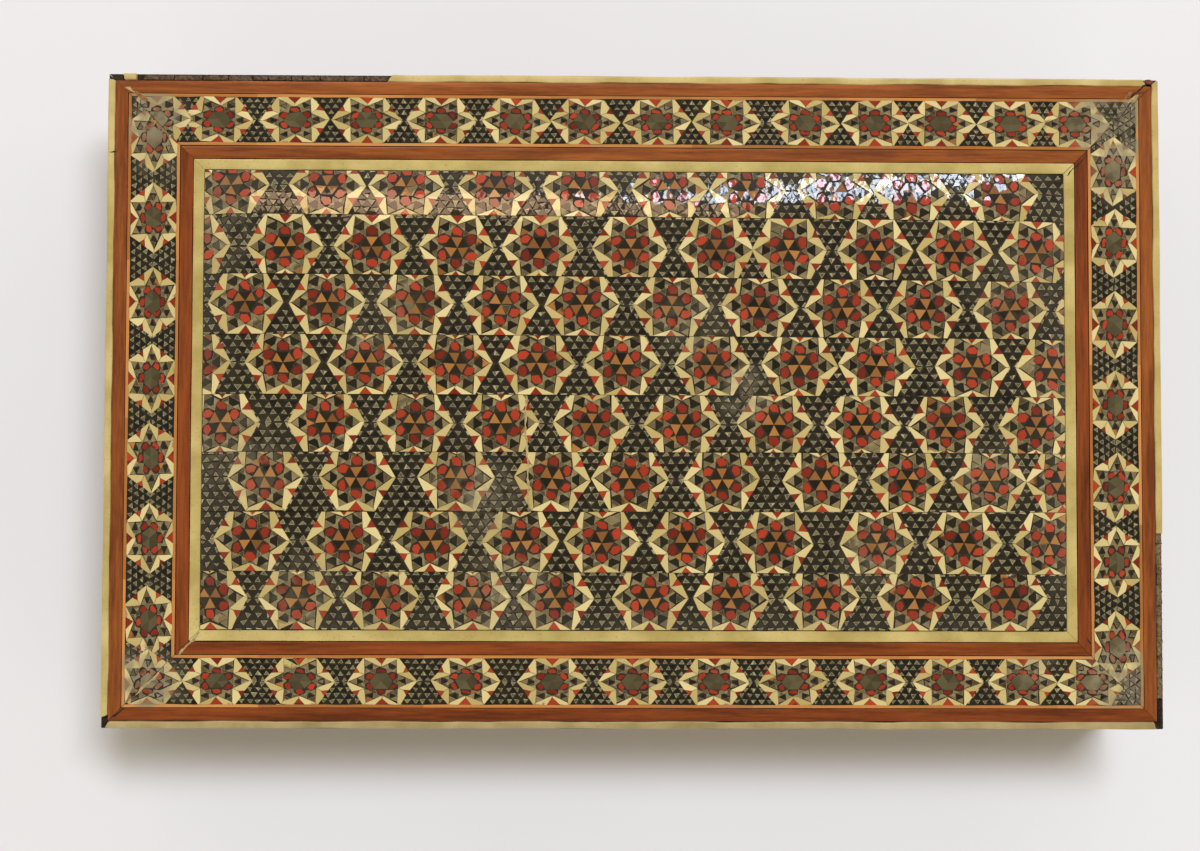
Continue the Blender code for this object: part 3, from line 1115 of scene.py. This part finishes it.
def fine_lines(half, width, seed):
    """The two fine orange lines of a border strip, straight outside and wandering 0.05 mm inside."""
    along = np.linspace(-half - 1.0, half + 1.0, 80)
    edge = 0.05 * wander(along, seed, 11.0)
    past = np.full(len(along), 0.5)
    lines = []
    for low, high in ((-past, FINE_LINE_WIDTH + edge), (width - FINE_LINE_WIDTH + edge, width + past)):
        there = np.stack((along, low), axis=1)
        back = np.stack((along, high), axis=1)[::-1]
        lines.append(("line", np.vstack((there, back))))
    return lines


def build_border(materials):
    """The star border: a mitred strip of squashed stars on each side, with its fine lines."""
    star = border_star()
    inset, width = band("khatam_border")
    half_row = width / 2 - FINE_LINE_WIDTH
    for order, side in enumerate(SIDES):
        _, half_run, _ = SIDES[side]
        rng = np.random.default_rng(31 + order)
        outer_half = half_run - inset - MITRE_OPENING[CORNERS[side][0]] / 2
        inner_half = outer_half - width
        outline = ((-outer_half, 0.0), (outer_half, 0.0), (inner_half, width), (-inner_half, width))
        sign = 1.0 if side in ("front", "right") else -1.0
        places = sorted(sign * place for place in border_star_places(side))
        rods = lay_rods(
            star,
            BORDER_UNIT,
            half_row,
            places,
            middle_line(width / 2, width / 2),
            (-outer_half, outer_half),
            rng,
            BORDER_GREY_SHARE,
            BORDER_SQUASH,
        )
        rods += fine_lines(outer_half, width, 41 + order)

        def place(flat, side=side, inset=inset):
            top = to_world(side, flat[:, 0], inset + flat[:, 1], LID_TOP)
            under = to_world(side, flat[:, 0], inset + flat[:, 1], INLAY_BED)
            normals = np.tile((0.0, 0.0, 1.0), (len(flat), 1))
            return top, normals, under

        strips = split_strip(outline, rods, places)
        border = lay_marquetry(
            f"star_border_{side}", strips, place, BORDER_LEAN, materials, BORDER_HAZE, 51 + order
        )
        finish_piece(border, "khatam", f"khatam_border_{side}")


BORDER_HAZE = (
    ((77.0, 44.5, 44.8), 9.5, 1.5),
    ((76.5, 36.0, 44.8), 6.0, 0.6),
    ((-78.0, 46.0, 44.8), 8.0, 1.2),
    ((-76.0, 37.0, 44.8), 5.0, 0.4),
    ((-77.0, -45.0, 44.8), 8.0, 1.1),
    ((77.0, -44.0, 44.8), 8.0, 1.2),
    ((63.0, -41.5, 44.8), 5.0, 0.5),
)


def build_side_panels(materials):
    """Three rows of stars on each side of the body, and one row round the lid's edge."""
    star = panel_star()
    for order, side in enumerate(SIDES):
        _, half_run, _ = SIDES[side]
        rng = np.random.default_rng(61 + order)
        for kind, rows, cover, mitred in (("side", 3, POST_COVER, False), ("lid", 1, 0.05, True)):
            low, high = node_box(f"khatam_{kind}_{side}")
            half = half_run - cover
            row_height = (high[2] - low[2]) / rows
            half_row = row_height / 2
            unit = half_row / PANEL_HALF_ROW * PANEL_UNIT
            pitch = unit * SIDE_STAR_PITCH
            count = int(2 * half / pitch)
            strips = []
            for row in range(rows):
                foot = low[2] + row * row_height
                outline = strip_outline(half, (foot, foot), (foot + row_height, foot + row_height))
                first = -(count - 1) * pitch / 2 + (row % 2) * pitch / 2
                places = [first + pitch * step + rng.normal(0.0, 0.5) for step in range(count)]
                line = middle_line(foot + half_row, foot + half_row)
                rods = lay_rods(star, unit, half_row, places, line, (-half, half), rng, SIDE_GREY_SHARE)
                strips.extend(split_strip(outline, rods, places))

            def place(flat, side=side, half=half, mitred=mitred):
                face = to_world(side, flat[:, 0], 0.0, flat[:, 1])
                inner = flat[:, 0] * (1.0 - SIDE_VENEER / half) if mitred else flat[:, 0]
                under = to_world(side, inner, SIDE_VENEER, flat[:, 1])
                outward = to_world(side, 0.0, -1.0, 0.0) - to_world(side, 0.0, 0.0, 0.0)
                return face, np.tile(outward, (len(flat), 1)), under

            piece = lay_marquetry(
                f"stars_{kind}_{side}", strips, place, SIDE_LEAN, materials, (), 71 + order
            )
            finish_piece(piece, "khatam", f"khatam_{kind}_{side}")


# Bone and redwood on the lid


def build_lid_bands(bone, outer_redwoods, inner_redwoods):
    """The two redwood bands and the inner bone edging, mitred at the corners."""
    for order, side in enumerate(SIDES):
        for kind, material, rounding, slot in (
            ("redwood_outer", outer_redwoods[side], 0.05, "redwood"),
            ("redwood_inner", inner_redwoods[side], 0.05, "redwood"),
            ("bone_inner", bone, 0.08, "bone"),
        ):
            inset, width = band(kind)
            seed = 100 + 10 * order + len(kind)
            piece = lay_bar(
                f"{kind}_band_{side}", side, inset, width, INLAY_BED, LID_TOP, rounding, material, seed
            )
            finish_piece(piece, slot, f"{kind}_{side}")


# The outer edging's broken ends on each side, as lay_bar takes them
BONE_BREAKS = {
    "front": ((0.8, 0.5, 0.1), (1.4, 0.3, 0.1)),
    "right": ((31.0, 0.05, 0.05), (0.35, 0.3, 0.05)),
    "back": ((2.7, -0.6, 0.1), (45.2, -0.7, 0.1)),
    "left": ((1.0, 0.2, 0.1), (1.7, 0.4, 0.1)),
}


def build_bone_edging(bone, front_shade_bone):
    """The outer bone edging with its broken ends, and the stub that is left of the back's end."""
    _, width = band("bone_edge")
    for order, (side, ends) in enumerate(BONE_BREAKS.items()):
        # The front edging takes the darker copy of the bone: painted shade, as the front faces away from the
        # light
        material = front_shade_bone if side == "front" else bone
        piece = lay_bar(
            f"bone_edging_{side}", side, 0.0, width, INLAY_BED, LID_TOP, 0.3, material, 200 + order, ends, 0.1
        )
        finish_piece(piece, "bone", f"bone_edge_{side}")
    low, high = node_box("bone_edge_back_stub")
    stub_ends = ((HALF_LENGTH - high[0], 0.0, 0.1), (HALF_LENGTH + low[0], 0.3, 0.1))
    stub = lay_bar(
        "bone_edging_back_stub", "back", 0.0, width, INLAY_BED, LID_TOP - 0.1, 0.38, bone, 210, stub_ends, 0.1
    )
    finish_piece(stub, "bone", "bone_edge_back_stub")


# Damage and old repairs


def surface_height(x, y):
    """The lid's height at a place: the cushion inside the inner bone edging, flat outside it."""
    on_cushion = (np.abs(x) < PANEL_HALF_X) & (np.abs(y) < PANEL_HALF_Y)
    return LID_TOP + np.where(on_cushion, cushion_height(x, y), 0.0)


def lay_streak(name, places, width, lift, material, seed):
    """Glue or dirt in a crack: a low ridge through the places, its width wandering to nothing.

    It stands on the inlay bed, its edges just under the surface and its middle lifted above it.
    """
    places = np.array(places, dtype=float)
    reach = np.concatenate(([0.0], np.cumsum(np.hypot(*np.diff(places, axis=0).T))))
    steps = max(int(reach[-1] / 0.3), 6)
    along = np.linspace(0.0, reach[-1], steps + 1)
    x = np.interp(along, reach, places[:, 0])
    y = np.interp(along, reach, places[:, 1])
    heading = (places[-1] - places[0]) / np.hypot(*(places[-1] - places[0]))
    taper = smooth_step(along, -0.2, 0.6) * smooth_step(reach[-1] - along, -0.2, 0.6)
    half = width / 2 * taper * (0.75 + 0.35 * wander(along, seed, 2.6))
    drift = 0.12 * wander(along, seed + 1, 3.4)
    aside = np.array((-1.0, -1.0, -0.5, 0.5, 1.0, 1.0))[None, :] * half[:, None] + drift[:, None]
    px = x[:, None] - heading[1] * aside
    py = y[:, None] + heading[0] * aside
    top = surface_height(px, py)
    rise = np.array((0.0, -0.04, lift, lift, -0.04, 0.0))
    height = np.where(np.array((True, False, False, False, False, True)), INLAY_BED, top + rise)
    points = np.stack((px, py, height), axis=-1).reshape(-1, 3)
    piece = make_piece(name, points, closed_tube_faces(steps + 1, 6), [material])
    finish_piece(piece, "khatam")


def lay_crumbs(name, side, spans, inset, width, top, material, seed):
    """What is left of a glue bed along one side: ragged lumps with open cracks between them."""
    rng = np.random.default_rng(seed)
    points, faces = [], []
    for start, end in spans:
        height = (top - INLAY_BED) * rng.uniform(0.75, 1.0)
        section = bar_profile(width * rng.uniform(0.85, 1.0), height, 0.15)
        across, up = section[:, 0], section[:, 1]
        steps = max(int((end - start) / 0.25), 3)
        ragged = 0.12 * wander(across * 2.0 + up, int(rng.integers(1000)), 1.5)
        along = start + ragged + (end - start) * np.linspace(0.0, 1.0, steps + 1)[:, None]
        outer = np.abs(wander(along, int(rng.integers(1000)), 1.7)) * 0.3 * (1.0 - across / across.max())
        dip = np.abs(wander(along + across, int(rng.integers(1000)), 0.9)) * 0.25 * up / up.max()
        offset = sum(len(block) for block in points)
        points.append(to_world(side, along, inset + across + outer, INLAY_BED + up - dip).reshape(-1, 3))
        faces += [[corner + offset for corner in face] for face in closed_tube_faces(steps + 1, len(across))]
    piece = make_piece(name, np.vstack(points), faces, [material])
    finish_piece(piece, "softwood")


# Open cracks in the glue bed where the back edging is lost, along X, and half their width
GLUE_CRACKS = (-78.4, -73.5, -69.0, -64.9, -61.0, -58.6, -54.9, -53.1, -50.3, -46.4, -43.3, -39.3)
GLUE_CRACK_HALF = 0.12
# Where the right edging is lost, along Y: its ragged bed, and the stump at the front corner
RAGGED_EDGE = (-47.0, -20.9)
RAGGED_LUMPS = 16
STUMP = (-50.6, -48.2)
# Filled and open cracks: what fills them, width, lift and the places that they run through
CRACKS = (
    ("dirt", 0.4, -0.02, ((-83.2, -51.0), (-82.0, -50.0), (-80.3, -49.0), (-79.5, -47.4))),
    ("pale", 0.6, 0.03, ((-78.5, -46.7), (-74.6, -43.1))),
    ("pale", 0.5, 0.03, ((-71.8, -40.4), (-68.4, -36.8))),
    ("dirt", 0.45, -0.02, ((82.0, 51.2), (80.6, 50.0), (79.0, 48.2))),
    ("pale", 0.7, 0.04, ((80.6, 49.4), (78.9, 47.9))),
    ("amber", 0.5, 0.03, ((79.9, 50.0), (78.2, 48.6))),
    ("red", 1.1, 0.02, ((81.5, 51.4), (83.2, 51.5))),
    ("dirt", 0.3, -0.02, ((72.9, 40.2), (71.2, 38.4), (69.0, 36.2))),
    ("dirt", 0.35, -0.02, ((79.9, -45.7), (81.2, -47.2), (82.2, -48.6))),
    ("dirt", 0.22, -0.02, ((69.5, -35.0), (71.0, -37.0))),
    ("dirt", 0.35, -0.02, ((71.6, -37.5), (73.8, -40.3))),
    ("pale", 0.6, 0.04, ((-81.2, 49.7), (-79.6, 48.6))),
    ("amber", 1.0, 0.02, ((-80.2, 49.3), (-77.4, 47.2))),
    ("pale", 0.55, 0.03, ((-17.2, 0.5), (-17.4, -4.0), (-17.0, -9.0), (-16.8, -17.6))),
    ("pale", 0.5, 0.04, ((51.3, -38.0), (51.8, -37.9))),
    ("dirt", 0.25, -0.01, ((-83.7, 39.3), (-82.2, 39.3))),
)


def build_damage():
    """The lost edging's glue beds, the stump at the front right, and the filled and open cracks."""
    glue = {
        "dirt": make_old_glue("dirt in the cracks", "#2c2014", "#120d08"),
        "pale": make_old_glue("pale filler", "#c2ae78", "#8a7446"),
        "amber": make_old_glue("amber glue", "#a8763c", "#6a4420"),
        "red": make_old_glue("reddish filler", "#8a4a2c", "#54281a"),
    }
    bed = make_old_glue("bared glue bed", "#7c644a", "#34281c")
    edge = make_old_glue("bared ragged edge", "#8c7c56", "#4a3e26")
    _, width = band("bone_edge")
    half = GLUE_CRACK_HALF
    spans = [(-right + half, -left - half) for left, right in zip(GLUE_CRACKS, GLUE_CRACKS[1:])]
    lay_crumbs("glue_bed_back", "back", spans, 0.1, width - 0.15, LID_TOP - 0.25, bed, 301)
    places = np.linspace(*RAGGED_EDGE, RAGGED_LUMPS + 1)
    spans = list(zip(places[:-1], places[1:] - 0.05))
    lay_crumbs("ragged_edge_right", "right", spans, 0.12, width - 0.12, LID_TOP - 0.1, edge, 302)
    lay_crumbs("stump_right", "right", (STUMP,), 0.3, width - 0.3, LID_TOP - 0.1, glue["dirt"], 303)
    for order, (filling, crack_width, lift, places) in enumerate(CRACKS):
        lay_streak(f"crack_{order}", places, crack_width, lift, glue[filling], 310 + 2 * order)


# Stage


FLOOR_REACH = 900.0
FLOOR_DROP = 0.05


def build_stage():
    """The table, just below the box so that their faces don't meet, and the camera."""
    corners = ((-1, -1), (1, -1), (1, 1), (-1, 1))
    floor_points = [(x * FLOOR_REACH, y * FLOOR_REACH, -FLOOR_DROP) for x, y in corners]
    floor = make_piece("floor", floor_points, [[0, 1, 2, 3]], [make_paper("off-white board")])
    camera_data = bpy.data.cameras.new("camera")
    camera_data.sensor_width = SENSOR_WIDTH
    camera_data.lens = PHOTO_FOCAL_PIXELS / PHOTO_WIDTH * SENSOR_WIDTH
    camera_data.clip_start = 0.01
    camera_data.clip_end = 20.0
    camera = bpy.data.objects.new("camera", camera_data)
    camera.matrix_world = Matrix.Translation(Vector(CAMERA_PLACE) * MM) @ camera_turn().to_4x4()
    bpy.context.scene.collection.objects.link(camera)
    bpy.context.scene.camera = camera


LIGHT_DISTANCE = 1.5


def add_area_light(name, slopes, size, power, colour):
    """An area light in the direction (x / z, y / z, 1) from the box, facing it; size is in metres."""
    light_data = bpy.data.lights.new(name, "AREA")
    light_data.shape = "RECTANGLE"
    light_data.size, light_data.size_y = size
    light_data.energy = power
    light_data.color = linear(colour)[:3]
    light = bpy.data.objects.new(name, light_data)
    direction = Vector((*slopes, 1.0)).normalized()
    light.location = direction * LIGHT_DISTANCE
    light.rotation_euler = direction.to_track_quat("Z", "Y").to_euler()
    bpy.context.scene.collection.objects.link(light)
    return light


def build_light():
    """A warm room, darker overhead, daylight from above the back edge, and a window beyond it.

    The daylight lights the box without a mirror image in the varnish, as through a diffuser;
    the window and the warm wall beside it are too far off to light anything and are only
    mirrored in the cushion's back shoulder.
    """
    world = bpy.data.worlds.new("room")
    world.use_nodes = True
    tree = world.node_tree
    place = add_node(tree, "ShaderNodeTexCoord").outputs["Generated"]
    height = add_node(tree, "ShaderNodeSeparateXYZ", {"Vector": place}).outputs["Z"]
    strength = add_node(tree, "ShaderNodeMapRange", {"Value": height, "To Min": 1.36, "To Max": 0.08})
    background = tree.nodes["Background"]
    background.inputs["Color"].default_value = linear("#fff3dd")
    tree.links.new(strength.outputs[0], background.inputs["Strength"])
    bpy.context.scene.world = world
    daylight = add_area_light("daylight", (0.12, 0.18), (0.4, 0.22), 17.5, "#edf0ff")
    daylight.visible_glossy = False
    window = add_area_light("window", (0.225, 1.25), (0.1, 0.92), 7.4, "#dce9ff")
    window.visible_diffuse = False
    wall = add_area_light("warm wall", (-0.09, 0.6), (0.34, 0.64), 5.2, "#ffcfa6")
    wall.visible_diffuse = False
    bpy.context.scene.view_settings.view_transform = "Standard"


# Finishes


def make_rod_materials():
    """The marquetry's materials in the order of MATERIAL_SLOTS."""
    return [
        # Hide glue gone brown: the fine dark lines between the rods and along the seams
        make_old_glue("glue between the rods", "#362c1d", "#1a140c"),
        # Creamy yellow, the brightest thing in the marquetry, with a browned rim
        make_rod_material("camel bone rods", "#dac98c", "#b29d5c", "#8c7848", "#9a8c66"),
        # Brick red that took unevenly: some rods are bright and some nearly brown
        make_rod_material("red dyed bone rods", "#ac3c20", "#6c2010", "#4a1c0e", "#8a6c50", 0.4),
        # Almost black, a touch green
        make_rod_material("ebonised wood rods", "#282414", "#15130a", None, "#6f6650"),
        # Brass and lead under a brown tarnish, mottled and no longer metallic; the paler rim is partly
        # burnished edges and partly a painted reflection of the window
        make_rod_material("tarnished metal rods", "#86774f", "#40341f", "#8c805a", "#8c8264", 0.6),
        # Warm tan wood in the cores of the panel's stars
        make_rod_material("orange wood rods", "#a8743a", "#744a22", "#523418", "#9a8058"),
        # Dull green-brown wood in the cores of the border's stars
        make_rod_material("olive wood rods", "#5e5538", "#423a24", None, "#857a5c"),
        # A thin bright line on both edges of the border
        make_rod_material("fine orange line", "#c98a4a", "#a0652f", None, "#9a8058"),
        # The lattice's greys: darker in the middle, with a paler rim that is partly burnished edges and
        # partly a painted reflection of the window
        make_rod_material("dull metal rods", "#78704c", "#4c4630", "#a69d74", "#8c8264", 0.6, 0.35),
    ]


def dress_carcass(bone, redwoods):
    """Gives the fixed nodes that stay in sight their wood and bone."""
    along = make_softwood("softwood along the box", (0.05, 1.0, 1.0))
    across = make_softwood("softwood across the box", (1.0, 0.05, 1.0))
    finishes = {name: along for name in ("wall_front", "wall_back", "base_board", "lid_board")}
    finishes.update({"wall_left": across, "wall_right": across})
    for side in SIDES:
        finishes[f"redwood_upper_{side}"] = redwoods[side]
        finishes[f"redwood_lower_{side}"] = redwoods[side]
        finishes[f"bone_foot_{side}"] = bone
    for corner in MITRE_OPENING:
        finishes[f"bone_post_{corner}"] = bone
    for name, material in finishes.items():
        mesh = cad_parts[name].data
        mesh.materials.clear()
        mesh.materials.append(material)


def main():
    build_stage()
    build_light()
    rods = make_rod_materials()
    bone = make_edging_bone("sawn camel bone", "#cab676", "#b09a58")
    inner_bone = make_edging_bone("yellowed camel bone", "#c8b570", "#ac9855")
    # A darker copy of the edging bone for the front: painted shade, as the front faces away from the light
    front_shade_bone = make_edging_bone("camel bone darkened as in shade", "#b09e6a", "#8c7a4a")
    along, across = (0.07, 1.0, 1.0), (1.0, 0.07, 1.0)
    light_x = make_redwood("redwood along the box", along, "#9c5826", "#683416")
    light_y = make_redwood("redwood across the box", across, "#9c5826", "#683416")
    # A darker copy of the redwood along the box, laid on the front bands: painted shade, as the front faces
    # away from the light
    front_shade_redwood = make_redwood("redwood darkened as in shade, along the box", along, "#8c461c", "#5a290e")
    dark_y = make_redwood("darker redwood across the box", across, "#8c461c", "#5a290e")
    outer_redwoods = {"front": front_shade_redwood, "back": light_x, "left": light_y, "right": light_y}
    inner_redwoods = {"front": front_shade_redwood, "back": light_x, "left": dark_y, "right": dark_y}

    build_panel(rods)
    build_border(rods)
    build_side_panels(rods)
    build_lid_bands(inner_bone, outer_redwoods, inner_redwoods)
    build_bone_edging(bone, front_shade_bone)
    build_damage()
    dress_carcass(bone, outer_redwoods)


main()
